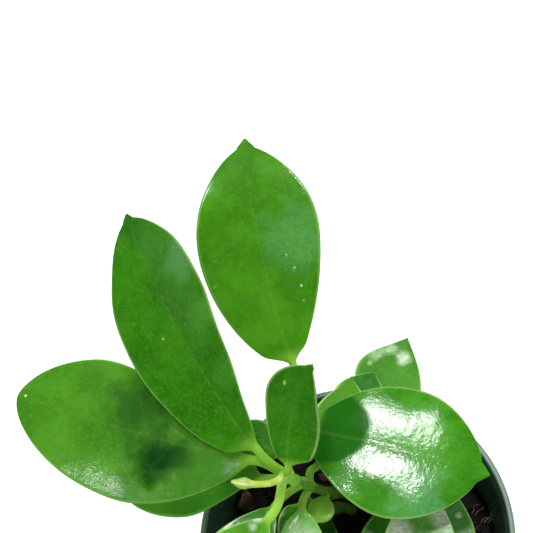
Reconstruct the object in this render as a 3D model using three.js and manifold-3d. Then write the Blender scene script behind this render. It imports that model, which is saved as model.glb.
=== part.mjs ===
// A young wax vine, Hoya australis, in a round nursery pot, seen as a scene graph of named meshes.
// Millimetres, +Z up. The origin is the centre of the pot's flat bottom, on the surface it stands on.
import * as THREE from "three";
import { mergeVertices } from "three/addons/utils/BufferGeometryUtils.js";
import Module from "manifold-3d";

const wasm = await Module();
wasm.setup();

// Driving dimensions of the pot
const POT_HEIGHT = 90;
const RIM_RADIUS = 52;
const FOOT_RADIUS = 37;
const WALL = 1.3;
const FLOOR = 2;
const LIP_HEIGHT = 2.2;
const LIP_THICKNESS = 1.9;
const COLLAR_HEIGHT = 13;
const COLLAR_STEP = 0.9;
const EDGE_ROUND = 0.5;
const POT_SIDES = 48;
const DRAIN_HOLES = 6;
const DRAIN_RADIUS = 4;
const DRAIN_INSET = 3; // from the foot's edge to the holes

// Driving dimensions of the soil
const SOIL_DEPTH = 22; // from the rim down to the soil
const SOIL_EDGE_DROP = 2.5; // how much lower the soil is along the wall
const SOIL_LUMPS = 0.9;
const SOIL_GAP = 0.4;
const SOIL_SIDES = 28;
const CHIP_LIFT = 0.2;

// Driving dimensions of the stems
const JOINT_GAP = 0.3; // left between a stem and what grows from it or holds it
const NODE_SWELLING = 0.6;
const NODE_SPREAD = 0.16; // as a share of the span between two of a stem's points
const BUD_ROOT = 1.3;
const BUD_TIP = 0.4;

// Driving dimensions of the leaves
const BLADE_CORE = 1.5;
const BLADE_EDGE = 0.7;
const BLADE_START = 0.07; // the share of a blade's length over which its stalk flattens out
const BLADE_END = 0.995; // where the last ring lies, just short of the tip
const STALK_ARC = 0.9; // how much of a half circle each side of a stalk takes
const OUTLINE_BLEND = 0.04;

// Colours
const POT_COLOUR = 0x24382c;
const SOIL_COLOUR = 0x2a211b;
const VINE_COLOUR = 0x5d9426;
const YOUNG_COLOUR = 0xb4cf5c;
const GREENS = { bright: 0x488d18, fresh: 0x4d8c24, deep: 0x31740c, dark: 0x2a6122, pale: 0x79b94e };

// Each vine is a list of points up its length: a place, a radius, and a name where leaves or a bud grow.
const VINES = {
  vine_main: [
    { at: [3, 22, 46], radius: 1.7 },
    { at: [2.5, 21, 66], radius: 1.7 },
    { at: [-2, 17.5, 80], radius: 1.6 },
    { at: [-7, 14.5, 92], radius: 1.6, node: "low" },
    { at: [-13, 13.5, 104], radius: 1.5, node: "middle" },
    { at: [-15, 13, 110], radius: 1.5, node: "joint" },
    { at: [-16.5, 12, 116], radius: 1.5, node: "fork" },
    { at: [-18, 11.5, 122], radius: 1.5, node: "upper" },
    { at: [-18.5, 11, 127], radius: 1.4, node: "top" },
    { at: [-18.5, 9.5, 131], radius: 0.8 },
  ],
  vine_low: [
    { at: [-2, 14.5, 46], radius: 1.8 },
    { at: [-2.5, 15, 67], radius: 1.8 },
    { at: [-4.5, 15, 72], radius: 1.8 },
    { at: [-7, 13, 79], radius: 1.7, node: "low" },
    { at: [-12, 9, 86], radius: 1.4, node: "top" },
    { at: [-14.5, 8.5, 88.5], radius: 0.8 },
  ],
  vine_back: [
    { at: [-12, 34, 46], radius: 1.7 },
    { at: [-13, 34, 66], radius: 1.7 },
    { at: [-16, 34, 88], radius: 1.6 },
    { at: [-18.5, 34, 103], radius: 1.5, node: "low" },
    { at: [-19, 33.5, 108], radius: 1.5, node: "middle" },
    { at: [-19, 33, 113], radius: 1.4, node: "top" },
    { at: [-19, 32.5, 116.5], radius: 0.8 },
  ],
  vine_right: [
    { at: [24, 14, 46], radius: 1.7 },
    { at: [23, 14, 66], radius: 1.7 },
    { at: [21, 17, 84], radius: 1.6, node: "low" },
    { at: [20.5, 20, 96], radius: 1.5, node: "top" },
    { at: [20, 21, 100], radius: 0.8 },
  ],
  vine_front: [
    { at: [-1, -14, 46], radius: 1.7 },
    { at: [-1, -15, 66], radius: 1.7 },
    { at: [-1, -18, 90], radius: 1.6, node: "low" },
    { at: [-2, -20.5, 104], radius: 1.5, node: "middle" },
    { at: [-2.5, -22, 113], radius: 1.5, node: "upper" },
    { at: [-3, -23, 121], radius: 1.4, node: "top" },
    { at: [-3, -23.5, 125], radius: 0.8 },
  ],
  vine_front_right: [
    { at: [30, -12, 46], radius: 1.7 },
    { at: [32, -14, 66], radius: 1.7 },
    { at: [38, -18, 89], radius: 1.6, node: "low" },
    { at: [41, -20, 103], radius: 1.5, node: "top" },
    { at: [41.5, -20.5, 107], radius: 0.8 },
  ],
};

// A small pointed bud in the fork of some nodes: where it grows, which way it points and how far it reaches.
const BUDS = [
  { on: ["vine_main", "middle"], toward: [-0.4, 0.5, 0.8], reach: 4.2 },
  { on: ["vine_main", "low"], toward: [0.2, -0.7, 0.7], reach: 2.6 },
  { on: ["vine_right", "low"], toward: [0.2, 0.6, 0.8], reach: 3 },
  { on: ["vine_front", "middle"], toward: [0.1, -0.6, 0.8], reach: 3.4 },
];

// Chips of bark on the soil: where, how large, and how they lie
const CHIPS = [
  { at: [-39.5, 19], size: [6, 2, 8], lean: -9, turn: 64, lift: 2.5 },
  { at: [-31, 14], size: [6, 4, 2.4], lean: -8, turn: 70 },
  { at: [-10, 28], size: [7, 4, 2.6], lean: 8, turn: 15 },
  { at: [-28, 29], size: [5, 4, 2.4], lean: -10, turn: 130 },
  { at: [9, 8], size: [7, 4, 2.6], lean: 10, turn: 40 },
  { at: [34, 5], size: [6, 5, 2.6], lean: -9, turn: 100 },
  { at: [12, 34], size: [8, 5, 2.6], lean: 7, turn: 160 },
  { at: [34, 20], size: [5, 4, 2.2], lean: 12, turn: 60 },
  { at: [-20, -8], size: [7, 5, 2.6], lean: -7, turn: 25 },
  { at: [-36, -10], size: [6, 4, 2.4], lean: 9, turn: 95 },
  { at: [-14, -34], size: [7, 4, 2.4], lean: 10, turn: 150 },
  { at: [10, -28], size: [8, 5, 2.6], lean: -8, turn: 10 },
  { at: [28, -26], size: [5, 4, 2.4], lean: 11, turn: 50 },
  { at: [14, -8], size: [6, 4, 2.2], lean: -10, turn: 120 },
];

// The young shoot: a curved stem that ends in a bud of folded leaflets
const SHOOT = [
  { at: [-18.5, 10, 129.5], radius: 1.1 },
  { at: [-19.5, 8, 131], radius: 1.1 },
  { at: [-22, 6.5, 132.5], radius: 1.05 },
  { at: [-25, 6, 133.5], radius: 1 },
  { at: [-27.5, 6, 134], radius: 1.15 },
  { at: [-29.5, 6, 135], radius: 1.85 },
  { at: [-31, 6, 135.5], radius: 1.5 },
  { at: [-33.5, 6.5, 136], radius: 0.4 },
];

// Leaves: base and tip are the ends of the blade's midrib. sag lifts the midrib's middle above the straight
// line between them, and sway pushes it to the left. roll raises the left side. cup curls both margins up,
// and fold creases them. wide is where along its length the blade is broadest, and skew brings that nearer
// the base on the left side. full is how slowly the blade widens from its base, and blunt how slowly it
// widens from its tip. spike is the share of its length that is drawn out to a point, and point is how wide
// that starts, as a share of the half-width.
const LEAF_DEFAULTS = {
  wide: 0.54, skew: 0, full: 0.72, blunt: 0.48, spike: 0.045, point: 0.13, stalk: 1.35, green: "deep",
  sag: 0, sway: 0, roll: 0, cup: 8, fold: 0,
  across: 6, rings: 11, stalkRings: 4,
};
const SMALL_LEAF = { across: 4, rings: 8, stalkRings: 3 };

const LEAVES = {
  leaf_left: {
    on: ["vine_main", "upper"], base: [-27, 15.5, 127], tip: [-106, 42, 127], width: 44, green: "fresh",
    sag: 1.5, sway: 2.5, roll: 2, cup: -12, wide: 0.57, skew: 0.1, full: 0.97, blunt: 0.56, spike: 0,
    stalk: 1.5,
  },
  leaf_upper_left: {
    on: ["vine_main", "top"], base: [-25.5, 16.5, 133], tip: [-66, 92.5, 152], width: 37.5,
    sag: 1, sway: 3, roll: -33, fold: 14, cup: 4, wide: 0.61, skew: 0.07, full: 0.45, blunt: 0.65,
    spike: 0.02, point: 0.1, stalk: 1.4,
  },
  leaf_top: {
    on: ["vine_back", "top"], base: [-15.5, 48, 124], tip: [-27.5, 117.5, 152], width: 41, green: "bright",
    sway: 2.5, cup: 14, wide: 0.58, skew: 0.03, full: 0.48, blunt: 0.61, spike: 0.035, stalk: 1.15,
  },
  leaf_crown: {
    on: ["vine_main", "top"], base: [-16.5, 11, 133], tip: [-5.5, 33.5, 160], width: 19.5,
    sag: -3, sway: 3.5, cup: 5, wide: 0.48, skew: -0.14, full: 0.4, blunt: 0.8, spike: 0.03, stalk: 1,
  },
  leaf_right: {
    on: ["vine_back", "top"], base: [-12, 28, 118], tip: [44.5, 11, 116], width: 44, green: "fresh",
    sag: 2, sway: 0.4, cup: -14, wide: 0.53, full: 0.58, blunt: 0.57, stalk: 1.2,
  },
  leaf_behind: {
    on: ["vine_main", "middle"], base: [-12, 18.5, 106], tip: [20.5, 66, 98], width: 25.5, green: "fresh",
    sway: -5, wide: 0.64, skew: -0.09, blunt: 1.05, spike: 0,
  },
  leaf_small_pale: {
    ...SMALL_LEAF, on: ["vine_back", "middle"], base: [-5, 27, 112.5], tip: [2, 48.5, 110], width: 15,
    sway: 0.5, wide: 0.46, skew: 0.15, full: 1.13, blunt: 1.23, spike: 0,
  },
  leaf_small_dark: {
    ...SMALL_LEAF, on: ["vine_back", "low"], base: [-2.5, 30.5, 108], tip: [9, 51, 105], width: 17.5,
    green: "dark", blunt: 0.8, spike: 0,
  },
  leaf_under_left: {
    on: ["vine_main", "fork"], base: [-26.5, 13.5, 115], tip: [-77, 15.5, 110], width: 26, green: "dark",
    sway: -0.7, wide: 0.48, skew: -0.07, full: 1.2,
  },
  leaf_between: {
    ...SMALL_LEAF, on: ["vine_main", "fork"], base: [-20.5, 18.5, 121], tip: [-35, 29, 122], width: 13.5,
    stalk: 0.9,
  },
  leaf_front_left: {
    on: ["vine_main", "top"], base: [-24, 0, 118], tip: [-55.5, -36, 114], width: 22, green: "fresh",
    fold: 22, stalk: 1.5,
  },
  leaf_front_left_low: {
    on: ["vine_main", "joint"], base: [-24.5, 7.5, 104], tip: [-53, -27, 97], width: 22, green: "fresh",
  },
  leaf_front: {
    on: ["vine_main", "middle"], base: [-16, 7.5, 102], tip: [-17.5, -44, 98], width: 22, green: "fresh",
    fold: 8, full: 0.6,
  },
  leaf_front_low: {
    on: ["vine_low", "top"], base: [-16.5, 12.5, 90.5], tip: [-21.5, -20, 87], width: 16, green: "dark",
    wide: 0.4, skew: -0.15, full: 1.13,
  },
  leaf_round: {
    ...SMALL_LEAF, on: ["vine_main", "low"], base: [-9, 12.5, 95], tip: [-12, 3.5, 95], width: 9,
    green: "pale", full: 0.5,
  },
  leaf_front_middle: {
    ...SMALL_LEAF, on: ["vine_low", "low"], base: [-9.5, 9.5, 83], tip: [-12.5, -18, 80], width: 12,
    green: "dark",
  },
  leaf_front_right: {
    on: ["vine_right", "top"], base: [23, 14, 104], tip: [19.5, -32, 100], width: 24, green: "fresh",
    cup: 4,
  },
  leaf_front_right_low: {
    on: ["vine_right", "low"], base: [18, 12, 97], tip: [5, -21.5, 94], width: 20,
  },
  leaf_far_right: {
    on: ["vine_right", "low"], base: [29, 17, 94], tip: [31.5, -22, 92], width: 18, green: "dark",
  },
  leaf_south: {
    on: ["vine_front", "top"], base: [-2, -34, 125], tip: [0, -97, 136], width: 38, green: "bright",
    sag: 3, cup: 12,
  },
  leaf_south_west: {
    on: ["vine_front", "upper"], base: [-14, -31, 118], tip: [-64, -70, 126], width: 37, sag: 3, cup: -8,
  },
  leaf_south_east: {
    on: ["vine_front", "middle"], base: [9, -27, 110], tip: [48, -64, 113], width: 34, green: "fresh",
    sag: 3, fold: 8,
  },
  leaf_south_west_low: {
    on: ["vine_front", "middle"], base: [-11, -27, 107], tip: [-46, -66, 102], width: 25, green: "dark",
    sag: 2,
  },
  leaf_south_low: {
    on: ["vine_front", "low"], base: [2, -28, 98], tip: [10, -72, 96], width: 27, sag: 3,
  },
  leaf_east: {
    on: ["vine_front_right", "top"], base: [50, -23, 108], tip: [93, -31, 116], width: 29, green: "bright",
    sag: 3, cup: 12,
  },
  leaf_south_east_low: {
    on: ["vine_front_right", "low"], base: [43, -28, 97], tip: [66, -64, 97], width: 24, sag: 2,
  },
};

const radians = THREE.MathUtils.degToRad;
const mix = THREE.MathUtils.lerp;
const smooth = THREE.MathUtils.smoothstep;
const vector = (p) => new THREE.Vector3(...p);

// A solid for manifold-3d from a closed geometry.
function solidOf(geometry) {
  const bare = geometry.clone();
  bare.deleteAttribute("normal");
  bare.deleteAttribute("uv");
  const merged = mergeVertices(bare, 1e-4);
  const triVerts = [];
  const index = merged.index.array;
  for (let i = 0; i < index.length; i += 3) {
    const [a, b, c] = index.subarray(i, i + 3);
    if (a !== b && b !== c && c !== a) triVerts.push(a, b, c);
  }
  return new wasm.Manifold(
    new wasm.Mesh({
      numProp: 3,
      vertProperties: merged.attributes.position.array,
      triVerts: new Uint32Array(triVerts),
    }),
  );
}

// The geometry of a manifold-3d solid.
function geometryOf(solid) {
  const { numProp, vertProperties, triVerts } = solid.getMesh();
  const positions = new Float32Array((vertProperties.length / numProp) * 3);
  for (let i = 0; i < positions.length / 3; i++) {
    positions.set(vertProperties.subarray(i * numProp, i * numProp + 3), i * 3);
  }
  const geometry = new THREE.BufferGeometry();
  geometry.setAttribute("position", new THREE.BufferAttribute(positions, 3));
  geometry.setIndex(new THREE.BufferAttribute(triVerts, 1));
  geometry.computeVertexNormals();
  return geometry;
}

// A closed solid through rings of equal length, which run anticlockwise seen from the far end, with both
// ends capped. From index turn on, the quads are split along their other diagonal, so that the two faces of
// a blade are split alike.
function loft(rings, turn = Infinity) {
  const size = rings[0].length;
  const points = rings.flat();
  const index = [];
  for (let i = 0; i + 1 < rings.length; i++) {
    for (let j = 0; j < size; j++) {
      const [a, b] = [i * size + j, i * size + ((j + 1) % size)];
      const [c, d] = [a + size, b + size];
      if (j < turn) index.push(a, b, d, a, d, c);
      else index.push(a, b, c, b, d, c);
    }
  }
  for (const [ring, flip] of [[0, true], [rings.length - 1, false]]) {
    const centre = new THREE.Vector3();
    for (const p of rings[ring]) centre.addScaledVector(p, 1 / size);
    points.push(centre);
    const middle = points.length - 1;
    for (let j = 0; j < size; j++) {
      const [a, b] = [ring * size + j, ring * size + ((j + 1) % size)];
      index.push(...(flip ? [middle, b, a] : [middle, a, b]));
    }
  }
  const geometry = new THREE.BufferGeometry().setFromPoints(points);
  geometry.setIndex(index);
  return geometry;
}

// A round stem through points of given radius. grow makes it thicker and longer, to cut a clear hole for it.
function tube(points, sides, perSpan, grow = 0) {
  const curve = new THREE.CatmullRomCurve3(points.map((p) => vector(p.at)));
  const spans = points.length - 1;
  const rings = [];
  for (let i = 0; i <= spans * perSpan; i++) {
    const t = i / (spans * perSpan);
    const place = t * spans;
    const before = Math.min(Math.floor(place), spans - 1);
    let radius = mix(points[before].radius, points[before + 1].radius, place - before) + grow;
    points.forEach((p, k) => {
      if (p.node) radius += NODE_SWELLING * Math.exp(-(((place - k) / NODE_SPREAD) ** 2));
    });
    const ahead = curve.getTangent(t);
    const centre = curve.getPoint(t);
    if (t === 0) centre.addScaledVector(ahead, -grow);
    if (t === 1) centre.addScaledVector(ahead, grow);
    const side = new THREE.Vector3(0.1, 1, 0).cross(ahead).normalize();
    const across = ahead.clone().cross(side);
    const ring = [];
    for (let j = 0; j < sides; j++) {
      const angle = (j / sides) * 2 * Math.PI;
      const arm = side.clone().multiplyScalar(Math.cos(angle)).addScaledVector(across, Math.sin(angle));
      ring.push(centre.clone().addScaledVector(arm, radius));
    }
    rings.push(ring);
  }
  return solidOf(loft(rings));
}

function nodeOf([vine, node]) {
  return VINES[vine].find((p) => p.node === node);
}

function vineSolid(vine, grow = 0) {
  let stem = tube(VINES[vine], 8, 3, grow);
  for (const bud of BUDS.filter((b) => b.on[0] === vine)) {
    const node = nodeOf(bud.on);
    const end = vector(node.at).addScaledVector(vector(bud.toward).normalize(), bud.reach);
    const points = [
      { at: node.at, radius: BUD_ROOT },
      { at: end.toArray(), radius: BUD_TIP },
    ];
    stem = stem.add(tube(points, 5, 1, grow));
  }
  return stem;
}

const fatVines = Object.fromEntries(Object.keys(VINES).map((vine) => [vine, vineSolid(vine, JOINT_GAP)]));

// The half-width of a blade at a share s of its length, as a share of its greatest half-width. side is 1 on
// the left and -1 on the right.
function outline(s, side, { wide, skew, full, blunt, spike, point: start }) {
  const x = Math.min(s / (1 - spike), 1);
  const power = Math.log(0.5) / Math.log(wide - side * skew);
  const fullness = mix(full, blunt, smooth(x, 0.3, 0.7));
  const body = Math.max(Math.sin(Math.PI * x ** power), 0) ** fullness;
  const point = spike ? start * Math.min(1, (1 - s) / spike) * smooth(s, 0.5, 0.9) : 0;
  return (body + point + Math.hypot(body - point, OUTLINE_BLEND)) / 2;
}

// The midrib's point and frame at a share s of the blade's length.
function midrib(leaf, s) {
  const base = vector(leaf.base);
  const chord = vector(leaf.tip).sub(base);
  const ahead = chord.clone().normalize();
  const left = new THREE.Vector3(0, 0, 1).cross(ahead).normalize();
  const up = ahead.clone().cross(left);
  const roll = radians(leaf.roll);
  const rolled = left.clone().multiplyScalar(Math.cos(roll)).addScaledVector(up, Math.sin(roll));
  const lifted = ahead.clone().cross(rolled);
  const bow = 4 * s * (1 - s);
  const slope = 4 * (1 - 2 * s);
  const point = base
    .addScaledVector(chord, s)
    .addScaledVector(lifted, leaf.sag * bow)
    .addScaledVector(rolled, leaf.sway * bow);
  const tangent = chord
    .addScaledVector(lifted, leaf.sag * slope)
    .addScaledVector(rolled, leaf.sway * slope)
    .normalize();
  const side = rolled.addScaledVector(tangent, -rolled.dot(tangent)).normalize();
  return { point, tangent, side, normal: tangent.clone().cross(side) };
}

// A stalk's section: a rounded bar whose points match those of a blade's ring. u runs from 1, on the left,
// to -1, and face is 1 on top and -1 underneath.
function stalkSection(leaf, u, face) {
  const round = STALK_ARC * u * (Math.PI / 2);
  return [leaf.stalk * Math.sin(round), face * leaf.stalk * Math.cos(round)];
}

function bladeSection(leaf, s, u, face) {
  const half = leaf.width / 2;
  const bend = radians(leaf.cup) / half;
  const crease = Math.tan(radians(leaf.fold));
  const reach = u * Math.max(half * outline(s, Math.sign(u), leaf), leaf.stalk * (1 - s));
  const thick = (BLADE_EDGE + (BLADE_CORE - BLADE_EDGE) * (1 - u * u)) / 2;
  const turned = bend * reach;
  const sideways = Math.sin(turned) / bend;
  const lift = (1 - Math.cos(turned)) / bend + crease * Math.abs(sideways);
  return [sideways - face * thick * Math.sin(turned), lift + face * thick * Math.cos(turned)];
}

// One ring of a leaf: its top face from left to right, then its underside from right to left.
function leafRing(leaf, centre, side, normal, section) {
  const ring = [];
  for (const face of [1, -1]) {
    for (let k = 0; k <= leaf.across; k++) {
      const [sideways, lift] = section(face * (1 - (2 * k) / leaf.across), face);
      ring.push(centre.clone().addScaledVector(side, sideways).addScaledVector(normal, lift));
    }
  }
  return ring;
}

function bladeRing(leaf, s) {
  const { point, side, normal } = midrib(leaf, s);
  const flat = smooth(s, 0, BLADE_START);
  return leafRing(leaf, point, side, normal, (u, face) => {
    const blade = bladeSection(leaf, s, u, face);
    return stalkSection(leaf, u, face).map((value, i) => mix(value, blade[i], flat));
  });
}

// The stalk from the vine's node to the blade, as rings that match the blade's.
function stalkRings(leaf) {
  const root = vector(nodeOf(leaf.on).at);
  const first = midrib(leaf, 0);
  const gap = first.point.distanceTo(root);
  const outward = first.point.clone().sub(root).normalize();
  const curve = new THREE.CubicBezierCurve3(
    root,
    root.clone().addScaledVector(outward, gap * 0.3),
    first.point.clone().addScaledVector(first.tangent, -gap * 0.4),
    first.point,
  );
  const rings = [];
  for (let i = 0; i < leaf.stalkRings; i++) {
    const t = i / leaf.stalkRings;
    const ahead = curve.getTangent(t);
    const side = first.side.clone().addScaledVector(ahead, -first.side.dot(ahead)).normalize();
    const section = (u, face) => stalkSection(leaf, u, face);
    rings.push(leafRing(leaf, curve.getPoint(t), side, ahead.clone().cross(side), section));
  }
  return rings;
}

// A whole leaf, cut clear of the vine that it grows from. Its rings are closer together towards the tip.
function leafSolid(leaf) {
  const rings = stalkRings(leaf);
  for (let i = 0; i <= leaf.rings; i++) {
    const t = i / leaf.rings;
    rings.push(bladeRing(leaf, (BLADE_END * t * (3 - t)) / 2));
  }
  return solidOf(loft(rings, leaf.across + 1)).subtract(fatVines[leaf.on[0]]);
}

const TAPER = (RIM_RADIUS - COLLAR_STEP - FOOT_RADIUS) / POT_HEIGHT;
const potWall = (z) => FOOT_RADIUS + TAPER * z;

// Pot: a turned shell with a collar outside its rim, and drain holes round the edge of its bottom.
function potSolid() {
  const collar = POT_HEIGHT - COLLAR_HEIGHT;
  const lip = POT_HEIGHT - LIP_HEIGHT;
  const profile = [
    [0, 0],
    [FOOT_RADIUS - 1, 0],
    [potWall(1), 1],
    [potWall(collar), collar],
    [potWall(collar) + COLLAR_STEP, collar + EDGE_ROUND],
    [RIM_RADIUS, POT_HEIGHT - EDGE_ROUND],
    [RIM_RADIUS - EDGE_ROUND, POT_HEIGHT],
    [RIM_RADIUS - LIP_THICKNESS + EDGE_ROUND, POT_HEIGHT],
    [RIM_RADIUS - LIP_THICKNESS, POT_HEIGHT - EDGE_ROUND],
    [potWall(lip) - WALL, lip],
    [potWall(FLOOR) - WALL, FLOOR],
    [0, FLOOR],
  ];
  const turned = new THREE.LatheGeometry(profile.map(([r, z]) => new THREE.Vector2(r, z)), POT_SIDES);
  turned.rotateX(Math.PI / 2);
  let pot = solidOf(turned);
  const reach = FOOT_RADIUS - DRAIN_RADIUS - DRAIN_INSET;
  for (let i = 0; i < DRAIN_HOLES; i++) {
    const angle = ((i + 0.5) / DRAIN_HOLES) * 2 * Math.PI;
    const drill = new THREE.CylinderGeometry(DRAIN_RADIUS, DRAIN_RADIUS, 3 * FLOOR, 12);
    drill.rotateX(Math.PI / 2);
    drill.translate(reach * Math.cos(angle), reach * Math.sin(angle), FLOOR / 2);
    pot = pot.subtract(solidOf(drill));
  }
  return pot;
}

// The soil's uneven top: two waves that cross each other, on ground that rises a little to the right.
function soilHeight(x, y) {
  const lumps = Math.sin(x * 0.31 + 1) * Math.cos(y * 0.27) + 0.6 * Math.sin(x * 0.13 - y * 0.41 + 2);
  return POT_HEIGHT - SOIL_DEPTH + lumps * SOIL_LUMPS + x * 0.03;
}

// Soil: a plug inside the pot, with chips of bark half sunk in its top and a hole for each vine.
function soilSolid() {
  const low = FLOOR + SOIL_GAP;
  const edge = POT_HEIGHT - SOIL_DEPTH - SOIL_EDGE_DROP;
  const reach = (z) => potWall(z) - WALL - SOIL_GAP;
  const circle = (radius, height) => {
    const ring = [];
    for (let j = 0; j < SOIL_SIDES; j++) {
      const angle = (j / SOIL_SIDES) * 2 * Math.PI;
      const [x, y] = [radius * Math.cos(angle), radius * Math.sin(angle)];
      ring.push(new THREE.Vector3(x, y, height ?? soilHeight(x, y)));
    }
    return ring;
  };
  const rings = [circle(reach(low), low), circle(reach(edge), edge)];
  for (const share of [0.97, 0.84, 0.68, 0.5, 0.3, 0.12]) rings.push(circle(reach(edge) * share));
  let soil = solidOf(loft(rings));
  for (const chip of CHIPS) {
    const block = new THREE.BoxGeometry(...chip.size);
    block.rotateX(radians(chip.lean));
    block.rotateZ(radians(chip.turn));
    const [x, y] = chip.at;
    block.translate(x, y, soilHeight(x, y) + (chip.lift ?? CHIP_LIFT));
    soil = soil.add(solidOf(block));
  }
  for (const hole of Object.values(fatVines)) soil = soil.subtract(hole);
  return soil;
}

function material(colour, roughness) {
  return new THREE.MeshStandardMaterial({ color: colour, roughness, metalness: 0 });
}

const plant = new THREE.Group();

function add(name, solid, look) {
  const mesh = new THREE.Mesh(geometryOf(solid), look);
  mesh.name = name;
  plant.add(mesh);
}

add("pot", potSolid(), material(POT_COLOUR, 0.45));
add("soil", soilSolid(), material(SOIL_COLOUR, 0.9));
for (const vine of Object.keys(VINES)) add(vine, vineSolid(vine), material(VINE_COLOUR, 0.5));
add("young_shoot", tube(SHOOT, 8, 3).subtract(fatVines.vine_main), material(YOUNG_COLOUR, 0.5));
for (const [name, spec] of Object.entries(LEAVES)) {
  const leaf = { ...LEAF_DEFAULTS, ...spec };
  add(name, leafSolid(leaf), material(GREENS[leaf.green], 0.35));
}

export default plant;
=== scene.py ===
# The looks of a young wax vine in a nursery pot: fine leaves, stems, soil and pot that stand for the solids.
# Sizes are in millimetres, as in the part's own source, except where a comment says otherwise.
import math

import bpy
import numpy as np
from mathutils import Matrix, Vector, noise


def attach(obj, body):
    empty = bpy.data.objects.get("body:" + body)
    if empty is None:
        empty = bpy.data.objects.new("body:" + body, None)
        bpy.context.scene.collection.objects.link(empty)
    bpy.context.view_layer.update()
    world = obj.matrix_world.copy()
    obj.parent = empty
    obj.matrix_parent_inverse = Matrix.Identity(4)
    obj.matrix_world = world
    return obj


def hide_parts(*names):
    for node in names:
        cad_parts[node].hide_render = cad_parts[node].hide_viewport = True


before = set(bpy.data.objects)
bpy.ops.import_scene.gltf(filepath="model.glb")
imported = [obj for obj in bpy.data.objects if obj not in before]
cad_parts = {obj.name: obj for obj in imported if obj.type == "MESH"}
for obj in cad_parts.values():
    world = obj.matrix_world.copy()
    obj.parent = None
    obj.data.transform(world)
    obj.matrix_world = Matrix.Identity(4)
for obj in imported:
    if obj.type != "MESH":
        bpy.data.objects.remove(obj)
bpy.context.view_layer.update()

MM = 0.001
BODY = "root"

# The pot and what fills it, as in the solids
POT_HEIGHT = 90
RIM_RADIUS = 52
FOOT_RADIUS = 37
WALL = 1.3
FLOOR = 2
LIP_HEIGHT = 2.2
LIP_THICKNESS = 1.9
COLLAR_HEIGHT = 13
COLLAR_STEP = 0.9
DRAIN_HOLES = 6
DRAIN_RADIUS = 4
DRAIN_INSET = 3
SOIL_DEPTH = 22
SOIL_EDGE_DROP = 2.5
SOIL_LUMPS = 0.9
SOIL_GAP = 0.4
TAPER = (RIM_RADIUS - COLLAR_STEP - FOOT_RADIUS) / POT_HEIGHT

# Stems and leaves, as in the solids
NODE_SWELLING = 0.6
NODE_SPREAD = 0.16
BLADE_CORE = 1.5
BLADE_EDGE = 0.7
BLADE_START = 0.07
OUTLINE_BLEND = 0.04

# Fine relief of a leaf
RIB_GROOVE = 0.07
RIB_RIDGE = 0.5
RIB_REACH = 0.55
VEIN_GROOVE = 0.004
VEIN_RIDGE = 0.05
WAVE = 0.05
WAVE_LENGTH = 13
DIMPLE = 0.012
DIMPLE_LENGTH = 4
EDGE_WAVE = 0.25
EDGE_WAVE_LENGTH = 21
PALE_MARGIN = (1, 0.4)  # how far in from the edge it starts, and where it is full

# Fine relief of a leaf, as shares
VEINS = 14  # on each side of the midrib
VEIN_WIDTH = 0.07  # of the gap between two veins
VEIN_SLANT = 0.16  # of the blade's length, from the midrib to the margin
ROUNDING = 0.045  # of the half-width, over which a margin is rounded off
TIP_THICKNESS = 0.55  # of the thickness elsewhere
BLADE_END = 0.9995  # of the blade's length, where the last ring lies
RING_CROWDING = 1.7  # a power: how much closer together the rings lie near the tip
STALK_SWELLING = 0.22  # of the stalk's radius, where it leaves its stem
STALK_SWELLING_REACH = 0.18  # of the stalk's length

# Buds in the forks, and the bud of folded leaflets on the young shoot
BUD_SHAPE = ((0, 1.3), (0.55, 1.0), (1, 0.25))  # its radii, at shares of its length
LEAFLET_SEAMS = 3
LEAFLET_START = (0.58, 0.68)  # the shares of the shoot's length between which its bud begins
SEAM_DEPTH = 0.16  # the rest as shares of the shoot's radius
LEAFLET_SWELLING = 0.03

# What lies on the soil
CHIP_SWELL = 1.12  # makes up for a chip's rounded corners
GRAINS = 430
GRAIN_SIZE = (0.7, 2.6)
PALE_GRAINS = 0.04  # the share of the grains that are pale
FIBRES = 9
FIBRE_PLACE = (40, 9)
FIBRE_SPREAD = 3
FIBRE_RADIUS = 0.07
FIBRE_LIFT = 1.7
SOIL_SEED = 5
FIRST_LEAF_SEED = 11

# How fine the meshes are: sides round a section, and rings along it, for a tube in each of its spans
POT_SIDES = 168
DRILL_SIDES = 32
SOIL_SIDES = 190
SOIL_RINGS = 74
CHIP_MESH = dict(rings=9, sides=14)
GRAIN_MESH = dict(rings=5, sides=7)
VINE_MESH = dict(sides=28, per_span=14)
SHOOT_MESH = dict(sides=48, per_span=14)
BUD_MESH = dict(sides=14, per_span=6)
FIBRE_MESH = dict(sides=6, per_span=5)
LEAF_MESH = (26, 118, 16)  # spans across the half-width, rings along the blade and rings along the stalk
SMALL_LEAF_MESH = (16, 64, 10)

# Colours, as they come out in the picture. LIT is how bright a fully lit surface is there, as a share of its
# own colour.
LIT = 0.8
LEAF_COLOURS = dict(
    mottle="84c03c", bloom="6cb05c", speck="b4dc9a", vein="6fae3c", rib="86bb52", margin="b8e484",
    under="4f8c34", under_light="6aa54a",
)
VINE_COLOURS = dict(dark="64ac2a", light="98da4a", low="4a7c26", pore="cfe8a4")
SHOOT_COLOURS = dict(dark="bce048", light="dcf890", bud="98c850", tinge="dcc48c", seam="f4f0c0")
SOIL_COLOURS = dict(dark="080808", brown="271f1a", grain="554739")
POT_COLOURS = dict(dark="2e4b39", light="3a5a46", dust="7d9482", wear_and_highlight="8fa893")

# The red, green and blue of a leaf's darker and lighter patches, as shares of its face's own
DEEP_PATCH = (0.72, 0.8, 0.75, 1)
LIGHT_PATCH = (1.26, 1.14, 1.35, 1)

# The colours of what lies on the soil, as multiples of the soil's own dark colour
CHIP_TINT = (20, 13, 9.5)
GRAIN_TINT = (2.6, 2.1, 1.8)
PALE_TINT = (26, 26, 24)
FIBRE_TINT = (80, 80, 74)

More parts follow.
